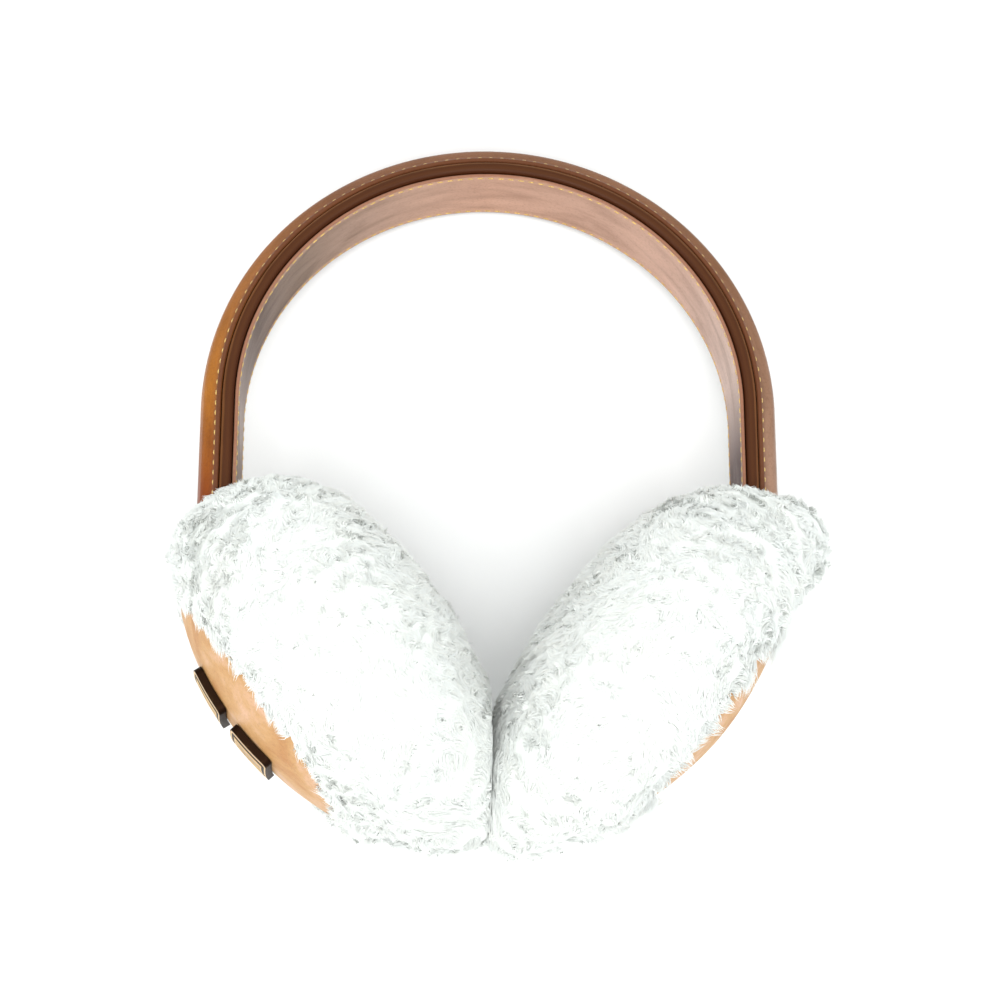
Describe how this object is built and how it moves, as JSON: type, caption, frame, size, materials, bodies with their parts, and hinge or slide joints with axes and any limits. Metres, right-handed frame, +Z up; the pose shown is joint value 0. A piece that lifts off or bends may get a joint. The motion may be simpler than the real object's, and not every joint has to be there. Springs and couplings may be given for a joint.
{
  "type": "fur earmuffs",
  "caption": "Sheepskin earmuffs lying on their back: arched leather headband with padded cover and lining, thick fur pads closed outside by domed leather caps.",
  "frame": {"origin": "middle of the part's footprint box, on the surface that it lies on", "axes": "+X to the right seen from above, +Y towards the headband's crown, +Z up from the surface; the earmuffs lie on their back"},
  "size_m": [0.1964, 0.2092, 0.1154],
  "materials": {
    "cover_leather": "waxed chestnut leather, satin",
    "edge_leather": "dark painted edge, satin",
    "lining_leather": "pale pinkish lining leather, matt",
    "cap_leather": "light tan leather, matt",
    "sheepskin": "dense white curly wool",
    "old_brass": "antique brass, dark in the corners and bright on the edges"
  },
  "bodies": {
    "root": {"band_cover": "cover_leather", "band_core": "edge_leather", "band_lining": "lining_leather", "fur_left": "sheepskin", "fur_right": "sheepskin", "cap_left": "cap_leather", "cap_right": "cap_leather", "bar_upper": "old_brass", "bar_lower": "old_brass"}
  },
  "joints": []
}
